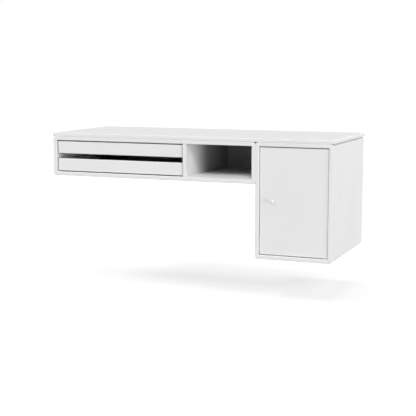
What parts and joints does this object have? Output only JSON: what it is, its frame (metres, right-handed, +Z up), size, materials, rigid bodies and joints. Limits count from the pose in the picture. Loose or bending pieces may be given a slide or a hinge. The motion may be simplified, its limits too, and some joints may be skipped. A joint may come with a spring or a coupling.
{
  "type": "floating wall desk",
  "caption": "Wall-hung desk in white lacquered board: low module with pull-out trays and an open niche, tall side cabinet with a door and round knob, one worktop over both",
  "frame": {"origin": "On the wall plane, in the middle of the carcass's width, at the height of the worktop's upper face", "axes": "+X to the right as seen from the front, +Y into the wall, +Z up; the front faces -Y"},
  "size_m": [0.942, 0.392, 0.366],
  "materials": {
    "white_lacquer": "satin white lacquer on 12 mm medium density fibreboard",
    "knob_lacquer": "satin white lacquer",
    "raw_wood": "fluted beech, unfinished",
    "zinc_steel": "bright zinc plate",
    "bearing_steel": "polished balls",
    "bar_aluminium": "mill finish extrusion",
    "bush_plastic": "moulded nylon, off-white",
    "magnet": "ferrite block"
  },
  "bodies": {
    "carcass": {"cabinet_back_panel": "white_lacquer", "cabinet_bottom_panel": "white_lacquer", "cabinet_left_panel": "white_lacquer", "cabinet_module_bar": "bar_aluminium", "cabinet_right_panel": "white_lacquer", "cabinet_top_panel": "white_lacquer", "cabinet_wall_bar": "bar_aluminium", "catch_housing": "bush_plastic", "catch_magnet": "magnet", "catch_screws": "zinc_steel", "connector_bolts": "zinc_steel", "connector_nuts": "zinc_steel", "desk_back_panel": "white_lacquer", "desk_bottom_panel": "white_lacquer", "desk_left_panel": "white_lacquer", "desk_module_bar": "bar_aluminium", "desk_right_panel": "white_lacquer", "desk_top_panel": "white_lacquer", "desk_wall_bar": "bar_aluminium", "divider": "white_lacquer", "divider_dowels": "raw_wood", "fixed_runner_screws": "zinc_steel", "hinge_pins": "zinc_steel", "lower_left_fixed_runner": "zinc_steel", "lower_right_fixed_runner": "zinc_steel", "module_bar_screws": "zinc_steel", "upper_left_fixed_runner": "zinc_steel", "upper_right_fixed_runner": "zinc_steel", "worktop": "white_lacquer", "worktop_screws": "zinc_steel"},
    "upper_tray": {"upper_tray_front": "white_lacquer", "upper_tray_left_side": "white_lacquer", "upper_tray_right_side": "white_lacquer", "upper_tray_back": "white_lacquer", "upper_tray_bottom": "white_lacquer", "upper_tray_dowels": "raw_wood", "upper_left_moving_runner": "zinc_steel", "upper_right_moving_runner": "zinc_steel", "upper_moving_runner_screws": "zinc_steel"},
    "lower_tray": {"lower_tray_front": "white_lacquer", "lower_tray_left_side": "white_lacquer", "lower_tray_right_side": "white_lacquer", "lower_tray_back": "white_lacquer", "lower_tray_bottom": "white_lacquer", "lower_tray_dowels": "raw_wood", "lower_left_moving_runner": "zinc_steel", "lower_right_moving_runner": "zinc_steel", "lower_moving_runner_screws": "zinc_steel"},
    "upper_ball_cages": {"upper_left_ball_cage": "zinc_steel", "upper_right_ball_cage": "zinc_steel", "upper_balls": "bearing_steel"},
    "lower_ball_cages": {"lower_left_ball_cage": "zinc_steel", "lower_right_ball_cage": "zinc_steel", "lower_balls": "bearing_steel"},
    "door": {"door_panel": "white_lacquer", "door_knob": "knob_lacquer", "knob_screw": "zinc_steel", "hinge_bushes": "bush_plastic", "strike_plate": "zinc_steel", "strike_screw": "zinc_steel"}
  },
  "joints": [
    {"name": "upper_tray_slide", "type": "slide", "parent": "carcass", "child": "upper_tray", "axis": [0, -1, 0], "range_m": [0, 0.23]},
    {"name": "lower_tray_slide", "type": "slide", "parent": "carcass", "child": "lower_tray", "axis": [0, -1, 0], "range_m": [0, 0.23]},
    {"name": "upper_cage_slide", "type": "slide", "parent": "carcass", "child": "upper_ball_cages", "axis": [0, -1, 0], "range_m": [0, 0.115]},
    {"name": "lower_cage_slide", "type": "slide", "parent": "carcass", "child": "lower_ball_cages", "axis": [0, -1, 0], "range_m": [0, 0.115]},
    {"name": "door_hinge", "type": "hinge", "parent": "carcass", "child": "door", "pos_m": [0.4455, -0.37, -0.189], "axis": [0, 0, 1], "range_deg": [0, 105]}
  ],
  "couplings": [
    {"joint": "upper_cage_slide", "follows": "upper_tray_slide", "ratio": 0.5},
    {"joint": "lower_cage_slide", "follows": "lower_tray_slide", "ratio": 0.5}
  ]
}
